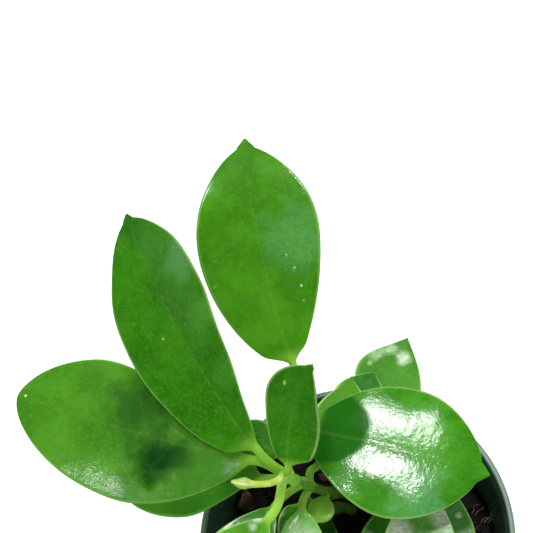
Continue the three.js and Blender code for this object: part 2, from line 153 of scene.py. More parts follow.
# Heights in metres between which the stems turn from their low colour to their own
LOW_STEM = (0.092, 0.118)

# The camera and the lamps, in metres, degrees and pixels
TARGET = Vector((-0.025, 0.086, 0.120))
CAMERA_PLACE = Vector((0.036, -0.115, 0.533))
FOCAL_PIXELS = 1368
PHOTO_PIXELS = 533
SENSOR = 36.0  # in millimetres
PLANT_MIDDLE = Vector((-0.01, 0.02, 0.12))
LAMP_DISTANCE = 1.4

# Round lamps that face the plant: height and turn from +Y to +X, own radius as seen from the plant, and how
# bright a white sheet that faces the lamp comes out. Fills leave no glints.
LAMPS = {
    "overhead_lamp": (82, -17, 5, 0.34),
    "back_lamp": (59, 7, 6.5, 0.34),
    "left_lamp": (67, -95, 3, 0.12),
    "left_window": (6, -96, 10, 0.012),
}
FILLS = {
    "right_back_fill": (31, 23, 9, 0.5),
    "left_fill": (25, -100, 25, 0.3),
    "right_fill": (25, 122, 25, 0.3),
}

# The studio's paper sweep, which is flat round the plant and bends up to a wall all round
SWEEP_RADIUS = 1700
SWEEP_BEND = 500
SWEEP_HEIGHT = 1500
SWEEP_SIDES = 96
PAPER_GLOW = 0.18
AIR_GLOW = 0.12

# Each stem is a list of points up its length: a place, a radius, and a name where leaves or a bud grow.
VINES = {
    "vine_main": [
        ((3, 22, 46), 1.7), ((2.5, 21, 66), 1.7), ((-2, 17.5, 80), 1.6), ((-7, 14.5, 92), 1.6, "low"),
        ((-13, 13.5, 104), 1.5, "middle"), ((-15, 13, 110), 1.5, "joint"), ((-16.5, 12, 116), 1.5, "fork"),
        ((-18, 11.5, 122), 1.5, "upper"), ((-18.5, 11, 127), 1.4, "top"), ((-18.5, 9.5, 131), 0.8),
    ],
    "vine_low": [
        ((-2, 14.5, 46), 1.8), ((-2.5, 15, 67), 1.8), ((-4.5, 15, 72), 1.8), ((-7, 13, 79), 1.7, "low"),
        ((-12, 9, 86), 1.4, "top"), ((-14.5, 8.5, 88.5), 0.8),
    ],
    "vine_back": [
        ((-12, 34, 46), 1.7), ((-13, 34, 66), 1.7), ((-16, 34, 88), 1.6), ((-18.5, 34, 103), 1.5, "low"),
        ((-19, 33.5, 108), 1.5, "middle"), ((-19, 33, 113), 1.4, "top"), ((-19, 32.5, 116.5), 0.8),
    ],
    "vine_right": [
        ((24, 14, 46), 1.7), ((23, 14, 66), 1.7), ((21, 17, 84), 1.6, "low"), ((20.5, 20, 96), 1.5, "top"),
        ((20, 21, 100), 0.8),
    ],
    "vine_front": [
        ((-1, -14, 46), 1.7), ((-1, -15, 66), 1.7), ((-1, -18, 90), 1.6, "low"),
        ((-2, -20.5, 104), 1.5, "middle"), ((-2.5, -22, 113), 1.5, "upper"), ((-3, -23, 121), 1.4, "top"),
        ((-3, -23.5, 125), 0.8),
    ],
    "vine_front_right": [
        ((30, -12, 46), 1.7), ((32, -14, 66), 1.7), ((38, -18, 89), 1.6, "low"),
        ((41, -20, 103), 1.5, "top"), ((41.5, -20.5, 107), 0.8),
    ],
}

# A small pointed bud in the fork of some nodes: where it grows, which way it points and how far it reaches
BUDS = [
    ("vine_main", "middle", (-0.4, 0.5, 0.8), 4.2),
    ("vine_main", "low", (0.2, -0.7, 0.7), 2.6),
    ("vine_right", "low", (0.2, 0.6, 0.8), 3),
    ("vine_front", "middle", (0.1, -0.6, 0.8), 3.4),
]

# The young shoot's points and radii; the last four make its bud
SHOOT = [
    ((-18.5, 10, 129.5), 1.1), ((-19.5, 8, 131), 1.1), ((-22, 6.5, 132.5), 1.05), ((-25, 6, 133.5), 1),
    ((-27.5, 6, 134), 1.15), ((-29.5, 6, 135), 1.85), ((-31, 6, 135.5), 1.5), ((-33.5, 6.5, 136), 0.4),
]

# Chips of bark on the soil: place, size, lean, turn and lift
CHIPS = [
    ((-39.5, 19), (6, 2, 8), -9, 64, 2.5), ((-31, 14), (6, 4, 2.4), -8, 70, 0.2),
    ((-10, 28), (7, 4, 2.6), 8, 15, 0.2), ((-28, 29), (5, 4, 2.4), -10, 130, 0.2),
    ((9, 8), (7, 4, 2.6), 10, 40, 0.2), ((34, 5), (6, 5, 2.6), -9, 100, 0.2),
    ((12, 34), (8, 5, 2.6), 7, 160, 0.2), ((34, 20), (5, 4, 2.2), 12, 60, 0.2),
    ((-20, -8), (7, 5, 2.6), -7, 25, 0.2), ((-36, -10), (6, 4, 2.4), 9, 95, 0.2),
    ((-14, -34), (7, 4, 2.4), 10, 150, 0.2), ((10, -28), (8, 5, 2.6), -8, 10, 0.2),
    ((28, -26), (5, 4, 2.4), 11, 50, 0.2), ((14, -8), (6, 4, 2.2), -10, 120, 0.2),
]

# Leaves. The first rows give the form, as in the solids: on is the stem's node that the leaf grows from, and
# base and tip are the ends of its midrib. sag lifts the midrib's middle and sway pushes it to the left. roll
# raises the left side, cup curls both margins up and fold creases them. wide is where along its length the
# blade is broadest, and skew brings that nearer the base on the left side. full and blunt are how slowly it
# widens from its base and from its tip. spike is the share of its length that is drawn out to a point, and
# point how wide that starts, as a share of the half-width.
# The rest is the look: the colours of face and stem, how crumpled the skin is, how strongly its pale rim and
# bloom show, how much shine its coat of wax gives it and how strongly that wax bends light. Spots are
# coloured marks: some are real specks, and some are painted highlights and painted sheen. Shades are painted
# shadows, dark and dull patches painted where shade falls. Polish is where the wax is thickest. Each is a
# place and the radii where it is full and where it ends, and for spots and shades also a strength and a
# colour.
LEAF_DEFAULTS = dict(
    wide=0.54, skew=0, full=0.72, blunt=0.48, spike=0.045, point=0.13, stalk=1.35,
    sag=0, sway=0, roll=0, cup=8, fold=0, small=False,
    face="3b7f18", stem="8cc43c", crumple=0.5, rim=0.3, bloom=0.3, shine=0.8, wax=1.5,
    specks_and_highlights=(), painted_shadows=(), polish=(),
)
LEAVES = {
    "leaf_left": dict(
        on=("vine_main", "upper"), base=(-27, 15.5, 127), tip=(-106, 42, 127), width=44, sag=1.5, sway=2.5,
        roll=2, cup=-12, wide=0.57, skew=0.1, full=0.97, blunt=0.56, spike=0, stalk=1.5,
        face="458a1c", crumple=1.7, shine=0.15,
        specks_and_highlights=[((-103.5, 41), (0.2, 0.6), 0.9, "e8f0d0")],
        # Painted shadows: a dark patch and a band below the edge of leaf_upper_left, and painted shade near
        # the base
        painted_shadows=[
            ((-60, 17), (2, 11), 0.95, "0b3a10"), ((-54, 17.5), (1, 9), 0.8, "0b3a10"),
            ((-64, 35.5), (3, 15), 0.75, "1c5418"), ((-46, 14), (3, 11), 0.4, "2c6a1c"),
        ],
        polish=[((-80, 12), (2, 8)), ((-86, 13.5), (1, 6)), ((-73, 7.5), (1, 6))],
    ),
    "leaf_upper_left": dict(
        on=("vine_main", "top"), base=(-25.5, 16.5, 133), tip=(-66, 92.5, 152), width=37.5, sag=1, sway=3,
        roll=-33, fold=14, cup=4, wide=0.61, skew=0.07, full=0.45, blunt=0.65, spike=0.02, point=0.1,
        stalk=1.4, face="2e7b06", stem="86c23c", shine=0.4,
        # The first spot is a painted sheen, and the next two paint the right half lighter where light falls
        # on it; the rest are real specks
        specks_and_highlights=[
            ((-45.5, 73), (3, 9), 0.25, "86b890"), ((-41, 55), (2, 7), 0.3, "5cae34"),
            ((-34, 39), (2, 7), 0.3, "5cae34"), ((-50.6, 57.9), (0.15, 0.5), 0.8, "8a6a3a"),
            ((-45.1, 56.9), (0.15, 0.5), 0.7, "8a6a3a"), ((-55, 52.6), (0.2, 0.6), 0.8, "b4c040"),
            ((-50.9, 68.5), (0.15, 0.5), 0.8, "123a08"), ((-47.8, 49.1), (0.15, 0.45), 0.8, "123a08"),
            ((-39.6, 36), (0.15, 0.45), 0.8, "123a08"),
        ],
    ),
    "leaf_top": dict(
        on=("vine_back", "top"), base=(-15.5, 48, 124), tip=(-27.5, 117.5, 152), width=41, sway=2.5,
        cup=14, wide=0.58, skew=0.03, full=0.48, blunt=0.61, spike=0.035, stalk=1.15,
        face="449012", shine=0.5,
        # The first spot is a painted sheen on the right half; the rest are real pale specks
        specks_and_highlights=[
            ((-12, 86), (3, 15), 0.3, "74ba80"), ((-15.8, 81), (0.1, 0.4), 0.8, "c8e0c0"),
            ((-13.4, 77), (0.1, 0.5), 0.8, "c8e0c0"), ((-11.5, 71.5), (0.15, 0.6), 0.9, "dcecd4"),
            ((-11, 67), (0.1, 0.4), 0.8, "c8e0c0"), ((-9.4, 58), (0.1, 0.5), 0.8, "c8e0c0"),
        ],
    ),
    "leaf_crown": dict(
        on=("vine_main", "top"), base=(-16.5, 11, 133), tip=(-5.5, 33.5, 160), width=19.5, sag=-3, sway=3.5,
        cup=5, wide=0.48, skew=-0.14, full=0.4, blunt=0.8, spike=0.03, stalk=1,
        face="2f7a0c", rim=0.45, shine=0.4, specks_and_highlights=[((-14.9, 31.7), (0.2, 0.7), 0.8, "b4cc50")],
    ),
    "leaf_right": dict(
        on=("vine_back", "top"), base=(-12, 28, 118), tip=(44.5, 11, 116), width=44, sag=2, sway=0.4,
        cup=-14, wide=0.53, full=0.58, blunt=0.57, stalk=1.2,
        face="3c9012", crumple=0.95, rim=0.55, shine=1, wax=1.58,
        # The first spot is a painted bluish sheen and the second a real pale speck; the shade is the painted
        # shadow of leaf_crown on the leaf's left part
        specks_and_highlights=[((22, 4), (3, 12), 0.35, "7cc48e"), ((-2, 23.4), (0.2, 0.5), 0.9, "d8ecc8")],
        painted_shadows=[((-4.5, 28.5), (11.3, 13.5), 0.95, "126600")],
    ),
    "leaf_behind": dict(
        on=("vine_main", "middle"), base=(-12, 18.5, 106), tip=(20.5, 66, 98), width=25.5, sway=-5,
        wide=0.64, skew=-0.09, blunt=1.05, spike=0,
        face="4a922a", crumple=2.6, shine=0.05,
        # The first three spots are painted highlights
        specks_and_highlights=[
            ((9.5, 60.5), (1, 4), 0.5, "b8dca0"), ((14.5, 62), (1, 3.5), 0.6, "c8e4b4"),
            ((19, 58.5), (0.5, 3.5), 0.8, "d8ecc8"), ((7.5, 56.5), (0.3, 1), 0.7, "a8d070"),
        ],
        polish=[((9.5, 60.5), (1, 4.5)), ((15.5, 62), (1, 4)), ((19.2, 58.5), (0.5, 4))],
    ),
    "leaf_small_pale": dict(
        on=("vine_back", "middle"), base=(-5, 27, 112.5), tip=(2, 48.5, 110), width=15, sway=0.5,
        wide=0.46, skew=0.15, full=1.13, blunt=1.23, spike=0, small=True,
        face="4c8e22", rim=1, shine=0,
    ),
    "leaf_small_dark": dict(
        on=("vine_back", "low"), base=(-2.5, 30.5, 108), tip=(9, 51, 105), width=17.5, blunt=0.8, spike=0,
        small=True, face="35762c", rim=1, shine=0,
    ),
    "leaf_under_left": dict(
        on=("vine_main", "fork"), base=(-26.5, 13.5, 115), tip=(-77, 15.5, 110), width=26, sway=-0.7,
        wide=0.48, skew=-0.07, full=1.2, face="4da32a", shine=0.3,
    ),
    "leaf_between": dict(
        on=("vine_main", "fork"), base=(-20.5, 18.5, 121), tip=(-35, 29, 122), width=13.5, stalk=0.9,
        small=True, face="35761a", shine=0,
    ),
    "leaf_front_left": dict(
        on=("vine_main", "top"), base=(-24, 0, 118), tip=(-55.5, -36, 114), width=22, fold=22, stalk=1.5,
        face="5cb02a", stem="b1ee5b", crumple=1.6, rim=0.9, shine=0.35,
        # Its two spots are painted highlights
        specks_and_highlights=[((-28, -0.8), (0.5, 2.2), 0.9, "f4faec"), ((-29.5, -3.2), (0.5, 2.2), 0.8, "f4faec")],
    ),
    "leaf_front_left_low": dict(
        on=("vine_main", "joint"), base=(-24.5, 7.5, 104), tip=(-53, -27, 97), width=22,
        face="36801c", rim=1,
    ),
    "leaf_front": dict(
        on=("vine_main", "middle"), base=(-16, 7.5, 102), tip=(-17.5, -44, 98), width=22, fold=8, full=0.6,
        # Its spot is a painted pale sheen
        face="84d860", bloom=1, shine=0.3, rim=0.8, specks_and_highlights=[((-17, -7), (4, 11), 0.9, "e6fed4")],
    ),
    "leaf_front_low": dict(
        on=("vine_low", "top"), base=(-16.5, 12.5, 90.5), tip=(-21.5, -20, 87), width=16, wide=0.4,
        skew=-0.15, full=1.13, face="3f8a18", rim=0.8, shine=0.15,
    ),
    "leaf_round": dict(
        on=("vine_main", "low"), base=(-9, 12.5, 95), tip=(-12, 3.5, 95), width=9, full=0.5, small=True,
        face="9ce24a", shine=0.1,
    ),
    "leaf_front_middle": dict(
        on=("vine_low", "low"), base=(-9.5, 9.5, 83), tip=(-12.5, -18, 80), width=12, small=True,
        face="2a6a16",
    ),
    "leaf_front_right": dict(
        on=("vine_right", "top"), base=(23, 14, 104), tip=(19.5, -32, 100), width=24, cup=4,
        face="4c9a28", crumple=2.4, rim=0.8, shine=1,
        # Its spots are painted highlights, with a painted lighter sheen between them
        specks_and_highlights=[
            ((12, -1.5), (1, 5), 0.85, "eefce0"), ((17, -1.5), (1, 5), 0.85, "eefce0"),
            ((28.5, 2), (1, 5.5), 0.8, "eefce0"), ((22, 0), (1, 5), 0.5, "8ccc64"),
        ],
    ),
    "leaf_front_right_low": dict(
        on=("vine_right", "low"), base=(18, 12, 97), tip=(5, -21.5, 94), width=20,
        face="3a8418", shine=0.1,
    ),
    "leaf_far_right": dict(
        on=("vine_right", "low"), base=(29, 17, 94), tip=(31.5, -22, 92), width=18,
        face="4c8840", shine=0.05, specks_and_highlights=[((34.2, 4.7), (0.6, 1.5), 0.8, "b4ceaa")],
    ),
    "leaf_south": dict(
        on=("vine_front", "top"), base=(-2, -34, 125), tip=(0, -97, 136), width=38, sag=3, cup=12,
        face="468b18",
    ),
    "leaf_south_west": dict(
        on=("vine_front", "upper"), base=(-14, -31, 118), tip=(-64, -70, 126), width=37, sag=3, cup=-8,
        face="34780e",
    ),
    "leaf_south_east": dict(
        on=("vine_front", "middle"), base=(9, -27, 110), tip=(48, -64, 113), width=34, sag=3, fold=8,
        face="3f8c18", crumple=1,
    ),
    "leaf_south_west_low": dict(
        on=("vine_front", "middle"), base=(-11, -27, 107), tip=(-46, -66, 102), width=25, sag=2,
        face="34741c",
    ),
    "leaf_south_low": dict(
        on=("vine_front", "low"), base=(2, -28, 98), tip=(10, -72, 96), width=27, sag=3,
        face="448426",
    ),
    "leaf_east": dict(
        on=("vine_front_right", "top"), base=(50, -23, 108), tip=(93, -31, 116), width=29, sag=3, cup=12,
        face="478a1e",
    ),
    "leaf_south_east_low": dict(
        on=("vine_front_right", "low"), base=(43, -28, 97), tip=(66, -64, 97), width=24, sag=2,
        face="34780e",
    ),
}


# Shader helpers

def linear(hex_colour):
    """The surface's own colour, from the one that comes out in the picture, in hex."""
    parts = [int(hex_colour[i:i + 2], 16) / 255 for i in (0, 2, 4)]
    parts = [p / 12.92 if p <= 0.04045 else ((p + 0.055) / 1.055) ** 2.4 for p in parts]
    return (*[p * LIT for p in parts], 1)


class Shader:
    """A material's node tree, with short calls for the nodes that the materials here use."""

    def __init__(self, name):
        self.material = bpy.data.materials.new(name)
        self.material.use_nodes = True
        self.tree = self.material.node_tree
        self.surface = self.tree.nodes["Principled BSDF"]

    def add(self, kind, settings=None, **inputs):
        """A new node with its settings and inputs. An input's name has _ for a space."""
        made = self.tree.nodes.new("ShaderNode" + kind)
        for key, value in (settings or {}).items():
            setattr(made, key, value)
        for key, value in inputs.items():
            self.put(made.inputs[key.replace("_", " ")], value)
        return made

    def put(self, socket, value):
        """Links a node's output to a socket, or sets the socket to a value or a colour in hex."""
        if isinstance(value, bpy.types.NodeSocket):
            self.tree.links.new(value, socket)
        else:
            socket.default_value = linear(value) if isinstance(value, str) else value

    def set(self, **inputs):
        """Sets inputs of the surface."""
        for key, value in inputs.items():
            self.put(self.surface.inputs[key.replace("_", " ")], value)

    def math(self, operation, *values, clamp=False):
        made = self.add("Math", {"operation": operation, "use_clamp": clamp})
        for socket, value in zip(made.inputs, values):
            self.put(socket, value)
        return made.outputs[0]

    def ramp(self, value, low, high, to_low=0.0, to_high=1.0):
        """A smooth step between two levels, as a value goes from low to high."""
        made = self.add("MapRange", {"interpolation_type": "SMOOTHSTEP"})
        for key, number in zip(("Value", "From Min", "From Max", "To Min", "To Max"),
                               (value, low, high, to_low, to_high)):
            self.put(made.inputs[key], number)
        return made.outputs[0]

    def mix(self, factor, a, b, blend="MIX"):
        """Colour a with a share of colour b over it."""
        made = self.add("Mix", {"data_type": "RGBA", "blend_type": blend})
        self.put(made.inputs[0], factor)
        self.put(made.inputs[6], a)
        self.put(made.inputs[7], b)
        return made.outputs[2]

    def place(self, stretch=(1, 1, 1)):
        """The place on the object in metres, stretched where a pattern has a grain."""
        where = self.add("TexCoord").outputs["Object"]
        return self.add("Mapping", Vector=where, Scale=stretch).outputs[0]

    def attribute(self, name, output="Fac"):
        """A value that is kept at the mesh's points."""
        return self.add("Attribute", {"attribute_name": name}).outputs[output]

    def split(self, vector):
        """The three parts of a vector."""
        return self.add("SeparateXYZ", Vector=vector).outputs

    def noise(self, where, scale, detail=2.0, rough=0.5):
        return self.add("TexNoise", Vector=where, Scale=scale, Detail=detail, Roughness=rough).outputs["Fac"]

    def cells(self, where, scale, feature="F1", output="Distance"):
        made = self.add("TexVoronoi", {"feature": feature}, Vector=where, Scale=scale)
        return made.outputs[output]

    def spot(self, place, size, strength):
        """A soft spot seen from above, full inside the first radius of its size and gone past the second."""
        gap = self.add("VectorMath", {"operation": "DISTANCE"})
        self.put(gap.inputs[0], self.place((1, 1, 0)))
        self.put(gap.inputs[1], (place[0] * MM, place[1] * MM, 0))
        blur = (size[1] - size[0]) * MM
        uneven = self.math("MULTIPLY", self.noise(self.place(), 150, 2), 1.4 * blur)
        reach = self.math("SUBTRACT", self.math("ADD", gap.outputs["Value"], uneven), 0.7 * blur)
        return self.ramp(reach, size[0] * MM, size[1] * MM, strength, 0)

    def bump(self, height, strength, distance, below=None):
        """The normal of a relief of up to a distance in millimetres, over another one if that is given."""
        made = self.add("Bump", Height=height, Strength=strength, Distance=distance * MM)
        if below is not None:
            self.put(made.inputs["Normal"], below)
        return made.outputs[0]


# Materials

def leaf_green(sh, where, look):
    """A blade's own green, with soft patches, fine mottling, a pale bloom and small pale specks."""
    face = linear(look["face"])
    deep = tuple(part * share for part, share in zip(face, DEEP_PATCH))
    light = tuple(min(part * share, 1) for part, share in zip(face, LIGHT_PATCH))
    colour = sh.mix(sh.ramp(sh.noise(where, 60, 3, 0.6), 0.34, 0.68), deep, light)
    mottle = sh.ramp(sh.noise(where, 900, 2, 0.7), 0.46, 0.74, 0, 0.36)
    mottled = tuple((a + b) / 2 for a, b in zip(face, linear(LEAF_COLOURS["mottle"])))
    colour = sh.mix(mottle, colour, mottled)
    bloom = sh.ramp(sh.noise(where, 130, 4, 0.65), 0.5, 0.75, 0, 0.2 * look["bloom"])
    colour = sh.mix(bloom, colour, LEAF_COLOURS["bloom"])
    size, pick = (sh.cells(where, 210, output=output) for output in ("Distance", "Color"))
    speck = sh.math("MULTIPLY", sh.ramp(size, 0.04, 0.1, 1, 0), sh.ramp(pick, 0.84, 0.86))
    return sh.mix(sh.math("MULTIPLY", speck, 0.5), colour, LEAF_COLOURS["speck"])


def leaf_marks(sh, look, grain, colour):
    """The colour with a leaf's specks, painted highlights, painted sheen and painted shadows over it, and
    how dull the painted shadows make it. The skin's grain breaks up spots wider than a millimetre."""
    flecks = sh.ramp(grain, 0.32, 0.62, 0.45, 1)
    # Spots: real specks, and also painted highlights and painted sheen
    for place, size, strength, tint in look["specks_and_highlights"]:
        share = sh.spot(place, size, strength)
        if size[1] > 1:
            share = sh.math("MULTIPLY", share, flecks)
        colour = sh.mix(share, colour, tint)
    shadow_dullness = 0.0
    # Shades: painted shadows, dark patches painted where shade falls, which also take the wax off
    for place, size, strength, tint in look["painted_shadows"]:
        shadow_share = sh.spot(place, size, strength)
        colour = sh.mix(shadow_share, colour, tint)
        shadow_dullness = sh.math("MAXIMUM", shadow_dullness, shadow_share)
    return colour, shadow_dullness


def leaf_lines(sh, where, look, colour):
    """The colour with a leaf's veins, midrib, pale margin, stalk and underside."""
    along, top = sh.attribute("along"), sh.attribute("top")
    rib, vein, edge = sh.split(sh.attribute("marks", "Vector"))
    colour = sh.mix(sh.math("MULTIPLY", vein, 0.05), colour, LEAF_COLOURS["vein"])
    colour = sh.mix(sh.math("MULTIPLY", rib, 0.12), colour, LEAF_COLOURS["rib"])
    colour = sh.mix(sh.math("MULTIPLY", edge, 0.9 * look["rim"]), colour, LEAF_COLOURS["margin"])
    stalk = sh.ramp(along, 0.0, 0.09, 1, 0)
    colour = sh.mix(sh.math("MULTIPLY", stalk, 0.9), colour, look["stem"])
    below = sh.math("MULTIPLY", sh.ramp(top, 0.4, 0.6, 1, 0), sh.ramp(along, 0.0, 0.05))
    under = sh.mix(sh.noise(where, 160), LEAF_COLOURS["under"], LEAF_COLOURS["under_light"])
    return sh.mix(below, colour, under)


def leaf_finish(sh, where, look, grain, shadow_dullness):
    """Fine relief, and a coat of wax that is full where it is polished and gone in the painted shadows."""
    normal = sh.bump(grain, 1.0, 0.075 * look["crumple"])
    normal = sh.bump(sh.cells(where, 2600, "SMOOTH_F1"), 1.0, 0.006, normal)
    rough = sh.ramp(sh.noise(where, 240, 3), 0.3, 0.7, 0.24, 0.32)
    shine = look["shine"]
    for place, size in look["polish"]:
        shine = sh.math("MAXIMUM", shine, sh.spot(place, size, 1))
    if look["painted_shadows"]:
        rough = sh.math("ADD", rough, sh.math("MULTIPLY", shadow_dullness, 0.5))
        shine = sh.math("SUBTRACT", shine, shadow_dullness, clamp=True)
    sh.set(Normal=normal, Roughness=rough, IOR=1.42, Specular_IOR_Level=0.02 + 0.18 * look["shine"])
    sh.set(Coat_Weight=shine, Coat_Normal=normal, Coat_Roughness=0.1, Coat_IOR=look["wax"])


def leaf_skin(name, look):
    """Waxy leaf skin."""
    sh = Shader(name + "_skin")
    where = sh.place()
    grain = sh.noise(where, 850, 3, 0.65)
    colour, shadow_dullness = leaf_marks(sh, look, grain, leaf_green(sh, where, look))
    sh.set(Base_Color=leaf_lines(sh, where, look, colour))
    leaf_finish(sh, where, look, grain, shadow_dullness)
    return sh.material


def vine_skin():
    """Smooth green bark with faint lengthways streaks and pale pores, darker low down."""
    sh = Shader("vine_skin")
    where = sh.place((1, 1, 0.35))
    streaks = sh.ramp(sh.noise(where, 260, 3), 0.35, 0.68)
    colour = sh.mix(streaks, VINE_COLOURS["dark"], VINE_COLOURS["light"])
    low = sh.ramp(sh.split(sh.place())["Z"], *LOW_STEM, 0.85, 0)
    colour = sh.mix(low, colour, VINE_COLOURS["low"])
    pore = sh.ramp(sh.cells(sh.place(), 620), 0.08, 0.2, 0.35, 0)
    colour = sh.mix(pore, colour, VINE_COLOURS["pore"])
    sh.set(Base_Color=colour, Normal=sh.bump(sh.noise(where, 900, 3), 0.4, 0.25), Roughness=0.42)
    return sh.material


def shoot_skin():
    """Pale yellow-green skin with a pink tinge, a greener bud and cream seams between its leaflets."""
    sh = Shader("shoot_skin")
    where = sh.place()
    patches = sh.ramp(sh.noise(where, 400, 3), 0.35, 0.68)
    colour = sh.mix(patches, SHOOT_COLOURS["dark"], SHOOT_COLOURS["light"])
    colour = sh.mix(sh.math("MULTIPLY", sh.attribute("bud"), 0.75), colour, SHOOT_COLOURS["bud"])
    tinge = sh.ramp(sh.noise(where, 900, 2), 0.58, 0.72, 0, 0.4)
    colour = sh.mix(tinge, colour, SHOOT_COLOURS["tinge"])
    colour = sh.mix(sh.math("MULTIPLY", sh.attribute("seam"), 0.9), colour, SHOOT_COLOURS["seam"])
    sh.set(Base_Color=colour, Normal=sh.bump(sh.noise(where, 1200, 3), 0.5, 0.15), Roughness=0.4)
    return sh.material


def soil_skin():
    """Damp dark potting mix with brown fibres and paler grains."""
    sh = Shader("soil_mix")
    where = sh.place()
    grain = sh.ramp(sh.noise(where, 900, 5, 0.75), 0.35, 0.75)
    colour = sh.mix(grain, SOIL_COLOURS["dark"], SOIL_COLOURS["brown"])
    pale = sh.ramp(sh.cells(where, 1400), 0.05, 0.14, 0.3, 0)
    colour = sh.mix(pale, colour, SOIL_COLOURS["grain"])
    colour = sh.mix(1.0, colour, sh.attribute("tint", "Color"), "MULTIPLY")
    normal = sh.bump(sh.noise(where, 1500, 5, 0.75), 0.9, 0.5)
    sh.set(Base_Color=colour, Normal=normal, Roughness=sh.ramp(grain, 0, 1, 0.55, 0.9))
    return sh.material


def pot_skin():
    """Dark green moulded plastic: fine grain, faint flow marks, dust, and pale edges that are wear and, on
    the rim, a painted highlight.
    """
    sh = Shader("pot_plastic_skin")
    where = sh.place()
    flow = sh.ramp(sh.noise(sh.place((1, 1, 0.2)), 160, 3), 0.3, 0.75)
    colour = sh.mix(flow, POT_COLOURS["dark"], POT_COLOURS["light"])
    dust = sh.ramp(sh.noise(where, 420, 5, 0.7), 0.6, 0.8, 0, 0.22)
    colour = sh.mix(dust, colour, POT_COLOURS["dust"])
    colour = sh.mix(sh.math("MULTIPLY", sh.attribute("wear_and_highlight"), 0.7), colour, POT_COLOURS["wear_and_highlight"])
    rough = sh.ramp(sh.noise(where, 300, 4), 0.3, 0.7, 0.26, 0.42)
    sh.set(Base_Color=colour, Normal=sh.bump(sh.noise(where, 2200, 3), 0.3, 0.06), Roughness=rough)
    return sh.material


def paper_skin():
    """White studio paper that glows faintly."""
    sh = Shader("studio_paper")
    grain = sh.ramp(sh.noise(sh.place(), 40, 3), 0.3, 0.7, 0.96, 1.0)
    sh.set(Base_Color=sh.mix(grain, (0.86, 0.86, 0.86, 1), (0.93, 0.93, 0.93, 1)), Roughness=0.9)
    sh.set(Emission_Color=(1, 1, 1, 1), Emission_Strength=PAPER_GLOW)
    return sh.material


# Mesh helpers

def unit(v):
    """Vectors scaled to a length of one."""
    return v / np.linalg.norm(v, axis=-1, keepdims=True)


def smooth(x, low, high):
    """A smooth step from 0 to 1, as x goes from low to high."""
    t = np.clip((x - low) / (high - low), 0, 1)
    return t * t * (3 - 2 * t)


def mix(a, b, t):
    """The value at a share t of the way from a to b."""
    return a + (b - a) * t


def full_turn(sides):
    """Angles evenly spaced round a circle."""
    return np.linspace(0, 2 * math.pi, sides, endpoint=False)


def circles(radius, height, sides):
    """Level rings of points round the axis."""
    angle = full_turn(sides)
    return np.stack([radius * np.cos(angle), radius * np.sin(angle), height + 0 * angle], -1)


def loft(rings):
    """Points and faces of a closed body through rings of equal length."""
    count, size = rings.shape[:2]
    i, j = np.meshgrid(np.arange(count - 1), np.arange(size), indexing="ij")
    a = i * size + j
    b = i * size + (j + 1) % size
    faces = np.stack([a, b, b + size, a + size], -1).reshape(-1, 4).tolist()
    points = np.vstack([rings.reshape(-1, 3), rings[0].mean(0), rings[-1].mean(0)])
    first, last = count * size, count * size + 1
    start = (count - 1) * size
    for k in range(size):
        after = (k + 1) % size
        faces.append((first, after, k))
        faces.append((last, start + k, start + after))
    return points, faces


def joined(bodies):
    """Several (points, faces) bodies as one."""
    points, faces, count = [], [], 0
    for body_points, body_faces in bodies:
        points.append(body_points)
        faces += [tuple(index + count for index in face) for face in body_faces]
        count += len(body_points)
    return np.vstack(points), faces


def new_piece(name, points, faces, look, node=None, slot=None, values=None):
    """A smooth mesh with its material and its points' values, in place of a node if one is named."""
    mesh = bpy.data.meshes.new(name)
    mesh.from_pydata((points * MM).tolist(), [], faces)
    mesh.polygons.foreach_set("use_smooth", [True] * len(mesh.polygons))
    for key, value in (values or {}).items():
        kind, field = ("FLOAT", "value") if value.ndim == 1 else ("FLOAT_VECTOR", "vector")
        layer = mesh.attributes.new(key, kind, "POINT")
        layer.data.foreach_set(field, value.astype(np.float32).ravel())
    mesh.materials.append(look)
    mesh.update()
    piece = bpy.data.objects.new(name, mesh)
    bpy.context.scene.collection.objects.link(piece)
    if node:
        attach(piece, BODY)
        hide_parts(node)
    return piece


def spline(points, t):
    """A centripetal Catmull-Rom curve through the points, at shares t of its spans."""
    p = np.array(points, float)
    p = np.vstack([2 * p[0] - p[1], p, 2 * p[-1] - p[-2]])
    spans = len(p) - 3
    place = np.clip(np.asarray(t, float), 0, 1) * spans
    k = np.minimum(place.astype(int), spans - 1)
    w = (place - k)[:, None]
    p0, p1, p2, p3 = (p[k + i] for i in range(4))
    pairs = ((p0, p1), (p1, p2), (p2, p3))
    d0, d1, d2 = (np.sqrt(np.linalg.norm(b - a, axis=1, keepdims=True)) for a, b in pairs)
    start = ((p1 - p0) / d0 - (p2 - p0) / (d0 + d1) + (p2 - p1) / d1) * d1
    end = ((p2 - p1) / d1 - (p3 - p1) / (d1 + d2) + (p3 - p2) / d2) * d1
    return p1 + start * w + (3 * (p2 - p1) - 2 * start - end) * w**2 + (2 * (p1 - p2) + start + end) * w**3


def tube(points, sides, per_span):
    """Rings of a round stem through (place, radius, node name) points, swollen at its nodes."""
    spans = len(points) - 1
    t = np.linspace(0, 1, spans * per_span + 1)
    step = 1e-4
    line = [p[0] for p in points]
    centre = spline(line, t)
    ahead = unit(spline(line, t + step) - spline(line, t - step))
    radius = np.interp(t * spans, range(spans + 1), [p[1] for p in points])
    for k, point in enumerate(points):
        if len(point) > 2:
            radius += NODE_SWELLING * np.exp(-(((t * spans - k) / NODE_SPREAD) ** 2))
    side = unit(np.cross((0.1, 1, 0), ahead))
    up = np.cross(ahead, side)
    angle = full_turn(sides)[None, :, None]
    arms = side[:, None] * np.cos(angle) + up[:, None] * np.sin(angle)
    return centre[:, None] + arms * radius[:, None, None]


